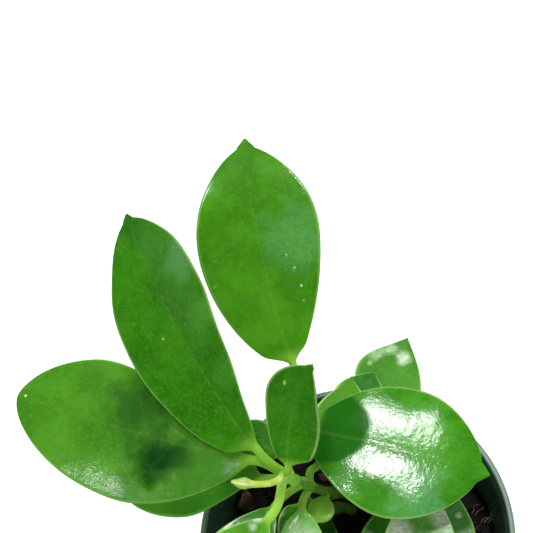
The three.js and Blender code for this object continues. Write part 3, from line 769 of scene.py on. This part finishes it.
def ripples(x, y, length, rng, waves=7):
    """A seeded pattern of soft waves of about the given length, from -1 to 1 or so."""
    total = np.zeros(np.broadcast(x, y).shape)
    for _ in range(waves):
        turn, phase, scale = rng.uniform(0, 2 * math.pi), rng.uniform(0, 2 * math.pi), rng.uniform(0.7, 1.4)
        total += np.sin((x * math.cos(turn) + y * math.sin(turn)) * 2 * math.pi / (length * scale) + phase)
    return total / math.sqrt(waves)


# Leaves

def outline(s, side, leaf):
    """The half-width of a blade at shares s of its length, as a share of its greatest one."""
    x = np.minimum(s / (1 - leaf["spike"]), 1)
    power = np.log(0.5) / np.log(leaf["wide"] - side * leaf["skew"])
    fullness = mix(leaf["full"], leaf["blunt"], smooth(x, 0.3, 0.7))
    body = np.maximum(np.sin(math.pi * x**power), 0) ** fullness
    point = 0
    if leaf["spike"]:
        point = leaf["point"] * np.minimum(1, (1 - s) / leaf["spike"]) * smooth(s, 0.5, 0.9)
    return (body + point + np.hypot(body - point, OUTLINE_BLEND)) / 2


def midrib(leaf, s):
    """The midrib's points and frame at shares s of the blade's length."""
    base = np.array(leaf["base"], float)
    chord = np.array(leaf["tip"], float) - base
    ahead = unit(chord)
    left = unit(np.cross((0, 0, 1), ahead))
    up = np.cross(ahead, left)
    roll = math.radians(leaf["roll"])
    rolled = left * math.cos(roll) + up * math.sin(roll)
    bow = np.cross(ahead, rolled) * leaf["sag"] + rolled * leaf["sway"]
    s = np.asarray(s, float)[:, None]
    point = base + chord * s + bow * (4 * s * (1 - s))
    tangent = unit(chord + bow * (4 * (1 - 2 * s)))
    side = unit(rolled - tangent * (tangent @ rolled)[:, None])
    return point, tangent, side, np.cross(tangent, side)


def node_place(vine, node):
    """Where a stem's named node is."""
    return np.array(next(p[0] for p in VINES[vine] if len(p) > 2 and p[2] == node), float)


def stalk_line(leaf, t):
    """Points, and directions ahead, along the stalk from the stem's node to the blade."""
    root = node_place(*leaf["on"])
    point, tangent = (v[0] for v in midrib(leaf, [0.0])[:2])
    gap = np.linalg.norm(point - root)
    a, b, c, d = root, root + unit(point - root) * gap * 0.3, point - tangent * gap * 0.4, point
    t = t[:, None]
    place = a * (1 - t) ** 3 + 3 * b * t * (1 - t) ** 2 + 3 * c * t**2 * (1 - t) + d * t**3
    ahead = 3 * ((b - a) * (1 - t) ** 2 + 2 * (c - b) * t * (1 - t) + (d - c) * t**2)
    return place, unit(ahead)


def leaf_section(half_count):
    """The points round a leaf's section, from its left margin over the top and back below: shares u of the
    half-width, from 1 at the left to -1 at the right, and 1 on the upper face or -1 on the lower one."""
    v = np.linspace(1, -1, 2 * half_count + 1)
    u = v - 0.6 * np.sin(2 * math.pi * v) / (2 * math.pi)
    face = np.concatenate([np.ones(len(v)), -np.ones(len(v) - 2)])
    return np.concatenate([u, u[-2:0:-1]]), face


def stalk_section(leaf, u, face):
    """A stalk's round section: how far to the side and how high its points lie."""
    return leaf["stalk"] * np.sin(u * math.pi / 2), leaf["stalk"] * face * np.cos(u * math.pi / 2)


def leaf_stalk(leaf, u, face, count):
    """Rings of points along the stalk, up to the blade."""
    t = np.linspace(0, 1, count, endpoint=False)
    centre, ahead = stalk_line(leaf, t)
    blade_side = midrib(leaf, [0.0])[2][0]
    side = unit(blade_side - ahead * (ahead @ blade_side)[:, None])
    up = np.cross(ahead, side)
    across, rise = stalk_section(leaf, u, face)
    swell = (1 + STALK_SWELLING * np.exp(-((t / STALK_SWELLING_REACH) ** 2)))[:, None, None]
    return centre[:, None] + (side[:, None] * across[:, None] + up[:, None] * rise[:, None]) * swell


def leaf_relief(u, s, face, reach, length, rng):
    """Half the thickness, the waves of the middle layer, and how strongly midrib and veins show."""
    ends = np.sqrt(np.clip(1 - ((np.abs(u) - 1 + ROUNDING) / ROUNDING).clip(0) ** 2, 0, 1))
    thick = (BLADE_EDGE + (BLADE_CORE - BLADE_EDGE) * (1 - u * u)) / 2 * ends
    thick = thick * mix(1, TIP_THICKNESS, smooth(s, 0.75, 1))
    rib = np.exp(-((reach / RIB_REACH) ** 2)) * (1 - 0.75 * s)
    spread = (s - VEIN_SLANT * np.abs(u) ** 1.2) * VEINS + 0.5 * (u > 0)
    vein = np.exp(-(((spread - np.round(spread)) / VEIN_WIDTH) ** 2))
    vein = vein * smooth(s, 0.03, 0.12) * (1 - smooth(s, 0.82, 0.95)) * (1 - smooth(np.abs(u), 0.6, 0.9))
    grooves = -RIB_GROOVE * rib - VEIN_GROOVE * vein
    ridges = RIB_RIDGE * rib + VEIN_RIDGE * vein
    wave = WAVE * ripples(reach, s * length, WAVE_LENGTH, rng)
    wave = wave + DIMPLE * ripples(reach, s * length, DIMPLE_LENGTH, rng, 24)
    wave = wave + EDGE_WAVE * np.abs(u) ** 3 * ripples(0, s * length, EDGE_WAVE_LENGTH, rng, 3)
    return thick + np.where(face > 0, grooves, ridges), wave * smooth(s, 0.05, 0.2), rib, vein


def leaf_blade(leaf, u, s, face, rng):
    """Rings of points along the blade, and how strongly midrib, veins and margin show at each point."""
    length = np.linalg.norm(np.subtract(leaf["tip"], leaf["base"]))
    half = leaf["width"] / 2
    reach = u * np.maximum(half * outline(s, np.sign(u), leaf), leaf["stalk"] * (1 - s))
    thick, wave, rib, vein = leaf_relief(u, s, face, reach, length, rng)

    bend = math.radians(leaf["cup"]) / half
    sideways = np.sin(bend * reach) / bend
    crease = math.tan(math.radians(leaf["fold"])) * np.abs(sideways)
    lift = (1 - np.cos(bend * reach)) / bend + crease + wave
    across = sideways - face * thick * np.sin(bend * reach)
    rise = lift + face * thick * np.cos(bend * reach)
    round_across, round_rise = stalk_section(leaf, u, face)
    flat = smooth(s, 0, BLADE_START)
    point, _, side, normal = midrib(leaf, s[:, 0])
    rings = point[:, None] + side[:, None] * mix(round_across, across, flat)[..., None]
    rings = rings + normal[:, None] * mix(round_rise, rise, flat)[..., None]

    start, full = (1 - inset / half for inset in PALE_MARGIN)
    edge = smooth(np.abs(u) * np.ones_like(s), start, full) * smooth(s, 0.02, 0.1)
    marks = np.stack([rib * np.ones_like(s), vein, edge], -1) * smooth(s, 0, 0.05)[..., None]
    return rings, marks


def leaf_body(leaf, rng):
    """Points, faces and values of one leaf with its stalk: the share along the blade, 1 on the upper face,
    and how strongly midrib, veins and margin show."""
    half_count, blade_rings, stalk_rings = SMALL_LEAF_MESH if leaf["small"] else LEAF_MESH
    u, face = leaf_section(half_count)
    s = (1 - (1 - np.linspace(0, 1, blade_rings)) ** RING_CROWDING)[:, None] * BLADE_END
    blade, marks = leaf_blade(leaf, u, s, face, rng)
    stalk = leaf_stalk(leaf, u, face, stalk_rings)
    points, faces = loft(np.concatenate([stalk, blade]))

    on_stalk = stalk_rings * len(u)
    along = np.concatenate([np.full(on_stalk, -1.0), (s * np.ones_like(u)).ravel(), (-1, 1)])
    top = np.concatenate([np.ones(on_stalk), ((face > 0) * np.ones_like(s)).ravel(), (1, 1)])
    marks = np.vstack([np.zeros((on_stalk, 3)), marks.reshape(-1, 3), np.zeros((2, 3))])
    return points, faces, {"along": along, "top": top, "marks": marks}


def make_leaves():
    for seed, (name, spec) in enumerate(LEAVES.items(), FIRST_LEAF_SEED):
        leaf = {**LEAF_DEFAULTS, **spec}
        points, faces, values = leaf_body(leaf, np.random.default_rng(seed))
        new_piece("fine_" + name, points, faces, leaf_skin(name, leaf), name, "leaf", values)


# Stems

def bud_body(vine, node, toward, reach):
    """Points and faces of a small pointed bud that grows from a stem's node."""
    root = node_place(vine, node)
    end = root + unit(np.array(toward, float)) * reach
    return loft(tube([(mix(root, end, share), radius) for share, radius in BUD_SHAPE], **BUD_MESH))


def make_vines():
    """The stems, each with the buds in its forks."""
    skin = vine_skin()
    for name, points in VINES.items():
        buds = [bud_body(*bud) for bud in BUDS if bud[0] == name]
        stem = loft(tube(points, **VINE_MESH))
        new_piece("fine_" + name, *joined([stem, *buds]), skin, name, "stem")


def make_shoot():
    """The pale shoot, with the seams of the folded leaflets that its bud is made of."""
    rings = tube(SHOOT, **SHOOT_MESH)
    count, sides = rings.shape[:2]
    bud = smooth(np.linspace(0, 1, count), *LEAFLET_START)[:, None]
    turn = np.linspace(0, LEAFLET_SEAMS * math.pi, sides, endpoint=False)
    seam = np.abs(np.cos(turn + 0.5)) ** 14
    centre = rings.mean(1, keepdims=True)
    rings = centre + (rings - centre) * (1 - bud * (SEAM_DEPTH * seam - LEAFLET_SWELLING))[..., None]
    values = {
        "seam": np.concatenate([(bud * seam).ravel(), (0, 0)]),
        "bud": np.concatenate([(bud + 0 * seam).ravel(), (0, 1)]),
    }
    new_piece("fine_young_shoot", *loft(rings), shoot_skin(), "young_shoot", "young_shoot", values)


# Pot and soil

def pot_wall(z):
    """The radius of the pot's outer wall at a height."""
    return FOOT_RADIUS + TAPER * z


def pot_profile(collar):
    """The (radius, height) points of the pot's section, up its outer wall, over its rim and down inside.
    Each edge is rounded over half a millimetre or so."""
    lip = POT_HEIGHT - LIP_HEIGHT
    inner_rim = RIM_RADIUS - LIP_THICKNESS
    foot = [
        (0, 0), (FOOT_RADIUS - 14, 0), (FOOT_RADIUS - 1.2, 0), (FOOT_RADIUS - 0.6, 0.12),
        (pot_wall(0.5) - 0.12, 0.5), (pot_wall(1.2), 1.2),
    ]
    outside = [(pot_wall(z), z) for z in np.linspace(6, collar - 1, 12)]
    wall = pot_wall(collar)
    step = [
        (wall, collar - 0.25), (wall + 0.25, collar + 0.05),
        (wall + COLLAR_STEP - 0.15, collar + 0.2), (wall + COLLAR_STEP, collar + 0.55),
    ]
    outer_rim = [(0.5, 6), (0.05, 0.8), (0.05, 0.4), (0.2, 0.12), (0.5, 0)]
    rim = [
        *[(RIM_RADIUS - inset, POT_HEIGHT - drop) for inset, drop in outer_rim],
        *[(inner_rim + outset, POT_HEIGHT - drop) for outset, drop in ((0.5, 0), (0.15, 0.12), (0, 0.5))],
        (inner_rim, lip + 0.5), (pot_wall(lip) - WALL, lip),
    ]
    inside = [(pot_wall(z) - WALL, z) for z in np.linspace(lip - 4, FLOOR + 1, 10)]
    floor = [(pot_wall(FLOOR) - WALL - 0.4, FLOOR), (FOOT_RADIUS - 14, FLOOR), (0, FLOOR)]
    return [*foot, *outside, *step, *rim, *inside, *floor]


def turned(profile, sides):
    """Points and faces of a body turned from (radius, height) points that start and end on the axis."""
    radius, height = np.array(profile[1:-1], float).T[..., None]
    return loft(circles(radius, height, sides))


def make_pot():
    """The pot, pale along the top of its rim, which is wear and a painted highlight, and worn pale at the
    edge of its collar.
    """
    collar = POT_HEIGHT - COLLAR_HEIGHT
    points, faces = turned(pot_profile(collar)[::-1], POT_SIDES)
    radius = np.hypot(points[:, 0], points[:, 1])
    # The top of the rim is painted pale, as wear and as a painted highlight; the collar's edge is worn pale
    near_rim = smooth(points[:, 2], POT_HEIGHT - 0.9, POT_HEIGHT - 0.2)
    collar_edge = np.exp(-(((points[:, 2] - collar - 0.4) / 0.4) ** 2)) * (radius > pot_wall(collar))
    values = {"wear_and_highlight": near_rim * 0.8 + collar_edge * 0.5}
    pot = new_piece("fine_pot", points, faces, pot_skin(), "pot", "pot_plastic", values)
    cut_drains(pot)


def cut_drains(pot):
    """Cuts the drain holes through the pot's bottom."""
    drills = []
    for i in range(DRAIN_HOLES):
        turn = (i + 0.5) / DRAIN_HOLES * 2 * math.pi
        reach = FOOT_RADIUS - DRAIN_RADIUS - DRAIN_INSET
        centre = np.array([reach * math.cos(turn), reach * math.sin(turn), 0])
        ring = circles(DRAIN_RADIUS, 0, DRILL_SIDES) + centre
        drills.append(loft(np.stack([ring - (0, 0, FLOOR), ring + (0, 0, 2 * FLOOR)])))
    drill = new_piece("drill", *joined(drills), pot.data.materials[0])
    cut = pot.modifiers.new("drains", "BOOLEAN")
    cut.operation = "DIFFERENCE"
    cut.solver = "EXACT"
    cut.object = drill
    drilled = bpy.data.meshes.new_from_object(pot.evaluated_get(bpy.context.evaluated_depsgraph_get()))
    pot.modifiers.clear()
    pot.data = drilled
    drilled.name = "fine_pot"
    bpy.data.objects.remove(drill)


def soil_height(x, y):
    """The height of the soil, without its crumbs."""
    lumps = np.sin(x * 0.31 + 1) * np.cos(y * 0.27) + 0.6 * np.sin(x * 0.13 - y * 0.41 + 2)
    return POT_HEIGHT - SOIL_DEPTH + lumps * SOIL_LUMPS + x * 0.03


def crumbs(x, y):
    """The rough fine relief of the soil, which is the same each time."""
    total = np.zeros(x.shape)
    for i, place in enumerate(zip(x.ravel(), y.ravel())):
        place = Vector((*place, 0))
        rough = noise.fractal(place * 0.28, 1.0, 2.1, 4) * 1.2
        cell = noise.voronoi(place * 0.62)[0][0]
        total.flat[i] = rough + 0.9 * (0.45 - cell)
    return total


def boulder(centre, size, rng, rings, sides, lie=None):
    """Points and faces of a lump, turned as it lies, or any way if that isn't given."""
    lat = np.linspace(0.12, math.pi - 0.12, rings)[:, None]
    lon = full_turn(sides)[None]
    ball = np.stack([np.sin(lat) * np.cos(lon), np.sin(lat) * np.sin(lon), -np.cos(lat) + 0 * lon], -1)
    square = np.sign(ball) * np.abs(ball) ** 0.6
    square = square * (1 + rng.uniform(-0.16, 0.16, (rings, sides, 1)))
    lie = lie if lie is not None else Matrix.Rotation(rng.uniform(0, 6.28), 3, rng.normal(size=3))
    return loft(square * (np.array(size) / 2) @ np.array(lie).T + centre)


def ground(edge, reach):
    """Points and faces of the plug of soil: its bottom, its side up to its edge, and its crumbly top."""
    low = FLOOR + SOIL_GAP
    angle = full_turn(SOIL_SIDES)
    shares = np.concatenate([[1.0, 0.995], np.sqrt(np.linspace(0.98, 0.0002, SOIL_RINGS))])[:, None]
    x = (shares * np.cos(angle)) * reach
    y = (shares * np.sin(angle)) * reach
    z = mix(edge, soil_height(x, y) + crumbs(x, y), smooth(1 - shares, 0.0, 0.03))
    foot = circles(pot_wall(low) - WALL - SOIL_GAP, low, SOIL_SIDES)
    return loft(np.concatenate([foot[None], np.stack([x, y, z], -1)]))


def bark_chips(rng):
    """The chips of bark, each with its tint."""
    made = []
    for (x, y), size, lean, turn, lift in CHIPS:
        lie = Matrix.Rotation(math.radians(turn), 3, "Z") @ Matrix.Rotation(math.radians(lean), 3, "X")
        centre = (x, y, soil_height(x, y) + lift)
        chip = boulder(centre, np.array(size) * CHIP_SWELL, rng, **CHIP_MESH, lie=lie)
        made.append((chip, np.array(CHIP_TINT) * rng.uniform(0.6, 1.15)))
    return made


def loose_grains(rng, reach):
    """Small loose lumps all over the soil, each with its tint."""
    made = []
    for _ in range(GRAINS):
        turn, share = rng.uniform(0, 2 * math.pi), math.sqrt(rng.uniform(0, 0.93))
        x, y = share * reach * math.cos(turn), share * reach * math.sin(turn)
        size = rng.uniform(*GRAIN_SIZE) * rng.uniform(0.5, 1.2, 3)
        grain = boulder((x, y, soil_height(x, y) + rng.uniform(0.1, 0.9)), size, rng, **GRAIN_MESH)
        pale = rng.uniform() > 1 - PALE_GRAINS
        made.append((grain, PALE_TINT if pale else np.array(GRAIN_TINT) * rng.uniform(0.4, 1.8)))
    return made


def root_fibres(rng):
    """Fine pale root fibres that lie on the soil about one place, each with its tint."""
    made = []
    for _ in range(FIBRES):
        start = np.array(FIBRE_PLACE) + rng.normal(0, FIBRE_SPREAD, 2)
        steps = np.cumsum(rng.normal(0.9, 0.5, (3, 2)), 0) + start
        line = [((x, y, soil_height(x, y) + FIBRE_LIFT), FIBRE_RADIUS) for x, y in (start, *steps)]
        made.append((loft(tube(line, **FIBRE_MESH)), FIBRE_TINT))
    return made


def make_soil():
    """The potting mix with everything that lies on it."""
    rng = np.random.default_rng(SOIL_SEED)
    edge = POT_HEIGHT - SOIL_DEPTH - SOIL_EDGE_DROP
    reach = pot_wall(edge) - WALL - SOIL_GAP
    made = [(ground(edge, reach), (1, 1, 1)), *bark_chips(rng), *loose_grains(rng, reach), *root_fibres(rng)]
    tints = np.vstack([np.tile(tint, (len(body[0]), 1)) for body, tint in made])
    points, faces = joined([body for body, _ in made])
    new_piece("fine_soil", points, faces, soil_skin(), "soil", "soil", {"tint": tints})


# Studio: a pale sweep, soft lights and the camera

def make_studio():
    """A round sweep of white paper that is open at the top, in faintly bright air."""
    arc = [
        (SWEEP_RADIUS + SWEEP_BEND * math.sin(a), SWEEP_BEND - SWEEP_BEND * math.cos(a))
        for a in np.linspace(0, math.pi / 2, 12)
    ]
    profile = [(150, 0), (600, 0), *arc, (SWEEP_RADIUS + SWEEP_BEND, SWEEP_HEIGHT)]
    points, faces = turned([(0, 0), *profile, (0, SWEEP_HEIGHT)], SWEEP_SIDES)
    faces = [face for face in faces if len(points) - 1 not in face]
    sweep = new_piece("studio_sweep", points, faces, paper_skin())
    sweep.location.z = -0.0001
    sweep.visible_glossy = False

    world = bpy.data.worlds.new("studio_air")
    bpy.context.scene.world = world
    world.use_nodes = True
    background = world.node_tree.nodes["Background"]
    background.inputs["Color"].default_value = (1, 1, 1, 1)
    background.inputs["Strength"].default_value = AIR_GLOW
    world.cycles_visibility.glossy = False


def soft_light(name, elevation, azimuth, spread, strength, glossy):
    """A round lamp that faces the plant, with its angles in degrees."""
    rise, turn = math.radians(elevation), math.radians(azimuth)
    toward = Vector((math.cos(rise) * math.sin(turn), math.cos(rise) * math.cos(turn), math.sin(rise)))
    lamp = bpy.data.lights.new(name, "AREA")
    lamp.shape = "DISK"
    lamp.size = 2 * LAMP_DISTANCE * math.tan(math.radians(spread))
    lamp.energy = strength * (math.pi * LAMP_DISTANCE) ** 2
    holder = bpy.data.objects.new(name, lamp)
    holder.location = PLANT_MIDDLE + toward * LAMP_DISTANCE
    holder.rotation_euler = (-toward).to_track_quat("-Z", "Y").to_euler()
    holder.visible_glossy = glossy
    bpy.context.scene.collection.objects.link(holder)


def make_lights():
    for name, lamp in LAMPS.items():
        soft_light(name, *lamp, glossy=True)
    for name, fill in FILLS.items():
        soft_light(name, *fill, glossy=False)


def make_camera():
    """The camera, which looks steeply down on the plant."""
    lens = bpy.data.cameras.new("photo_camera")
    lens.sensor_width = SENSOR
    lens.lens = FOCAL_PIXELS / PHOTO_PIXELS * SENSOR
    lens.clip_start = 0.01
    lens.clip_end = 20
    camera = bpy.data.objects.new("photo_camera", lens)
    back = (CAMERA_PLACE - TARGET).normalized()
    right = Vector((0, 1, 0)).cross(back).normalized()
    up = back.cross(right)
    camera.matrix_world = Matrix.Translation(CAMERA_PLACE) @ Matrix((right, up, back)).transposed().to_4x4()
    bpy.context.scene.collection.objects.link(camera)
    bpy.context.scene.camera = camera


bpy.context.scene.view_settings.view_transform = "Standard"
make_camera()
make_lights()
make_studio()
make_pot()
make_soil()
make_vines()
make_shoot()
make_leaves()
